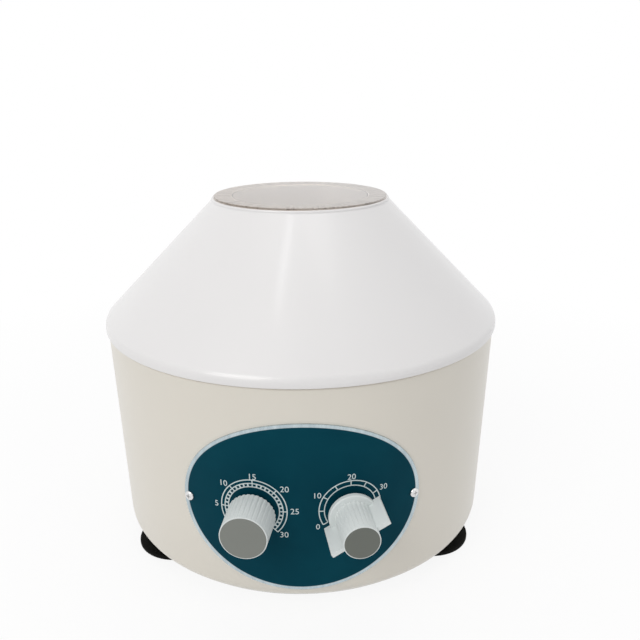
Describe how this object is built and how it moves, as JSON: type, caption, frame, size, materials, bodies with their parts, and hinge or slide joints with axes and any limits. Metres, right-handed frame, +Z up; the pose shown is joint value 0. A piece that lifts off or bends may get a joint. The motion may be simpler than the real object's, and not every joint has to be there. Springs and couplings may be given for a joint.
{
  "type": "bench centrifuge",
  "caption": "Round bench centrifuge: drum on suction feet, hinged cone lid with a window, angled tube rotor on a motor, and an oval panel with timer and speed dials.",
  "frame": {"origin": "on the rotor axis, at the table that the feet stand on", "axes": "+Z up along the rotor axis, -Y towards the front with the two dials, +X to the viewer's right"},
  "size_m": [0.26, 0.2939, 0.2271],
  "materials": {
    "drum_paint": "satin, warm light beige",
    "lid_plastic": "satin, cool white",
    "window_clear": "clear, polished",
    "panel_face": "satin, deep teal with a bare metal edge",
    "knob_plastic": "satin, light grey",
    "cap_plastic": "satin, mid grey",
    "black_plastic": "matte, black",
    "black_rubber": "matte, black",
    "steel": "machined",
    "zinc_plate": "zinc plated",
    "polished_steel": "ground and polished",
    "cast_aluminium": "satin",
    "brass_parts": "plain",
    "copper_wire": "varnished copper wire",
    "board_green": "solder mask, green",
    "carbon": "matte, carbon",
    "white_nylon": "plain nylon"
  },
  "bodies": {
    "base": {"drum_housing": "drum_paint", "bottom_plate": "zinc_plate", "base_screws": "zinc_plate", "rubber_feet": "black_rubber", "foot_screws": "zinc_plate", "base_nuts": "zinc_plate", "chamber_bowl": "steel", "bowl_screws": "zinc_plate", "rim_gasket": "black_rubber", "shaft_seal": "black_rubber", "body_hinge_bracket": "steel", "hinge_pin": "polished_steel", "body_hinge_screws": "zinc_plate", "control_panel": "panel_face", "panel_screws": "zinc_plate", "timer_case": "black_plastic", "speed_case": "black_plastic", "dial_nuts": "zinc_plate", "control_board": "board_green", "board_posts": "white_nylon", "heat_sink": "cast_aluminium", "triac": "black_plastic", "mains_inlet": "black_plastic", "inlet_pins": "brass_parts", "inlet_screws": "zinc_plate", "fuse_holder": "black_plastic", "motor_mounts": "black_rubber", "mount_bolts": "zinc_plate", "motor_bracket": "zinc_plate", "motor_lower_cap": "cast_aluminium", "motor_shell": "steel", "motor_upper_cap": "cast_aluminium", "tie_bolts": "zinc_plate", "field_core": "steel", "field_coils": "copper_wire", "bearing_outer_rings": "polished_steel", "bearing_balls": "polished_steel", "brush_tubes": "brass_parts", "brushes": "carbon"},
    "lid": {"lid_cone": "lid_plastic", "lid_window": "window_clear", "lid_hinge_bracket": "steel", "lid_hinge_screws": "zinc_plate"},
    "rotor": {"motor_shaft": "polished_steel", "armature_core": "steel", "armature_coils": "copper_wire", "commutator": "copper_wire", "cooling_fan": "black_plastic", "bearing_inner_rings": "polished_steel", "rotor_head": "cast_aluminium", "tube_sleeves": "cast_aluminium", "tube_cushions": "black_rubber", "rotor_nut": "steel"},
    "timer_dial": {"timer_shaft": "brass_parts", "timer_knob": "knob_plastic", "timer_knob_cap": "cap_plastic"},
    "speed_dial": {"speed_shaft": "brass_parts", "speed_knob": "knob_plastic", "speed_knob_cap": "cap_plastic"},
    "fuse_plug": {"fuse_cap": "black_plastic"}
  },
  "joints": [
    {"name": "lid_hinge", "type": "hinge", "parent": "base", "child": "lid", "pos_m": [0, 0.1345, 0.1505], "axis": [-1, 0, 0], "range_deg": [0, 95]},
    {"name": "rotor_spin", "type": "hinge", "parent": "base", "child": "rotor", "pos_m": [0, 0, 0.1], "axis": [0, 0, 1], "continuous": true},
    {"name": "timer_turn", "type": "hinge", "parent": "base", "child": "timer_dial", "pos_m": [-0.0271, -0.12467, 0.071], "axis": [0.1486, 0.9886, 0.0255], "range_deg": [0, 270]},
    {"name": "speed_turn", "type": "hinge", "parent": "base", "child": "speed_dial", "pos_m": [0.0271, -0.12467, 0.071], "axis": [-0.1486, 0.9886, 0.0255], "range_deg": [0, 240]},
    {"name": "fuse_cap_turn", "type": "hinge", "parent": "base", "child": "fuse_plug", "pos_m": [-0.03051, 0.12235, 0.052], "axis": [-0.2418, 0.97, -0.0255], "range_deg": [0, 90]}
  ]
}
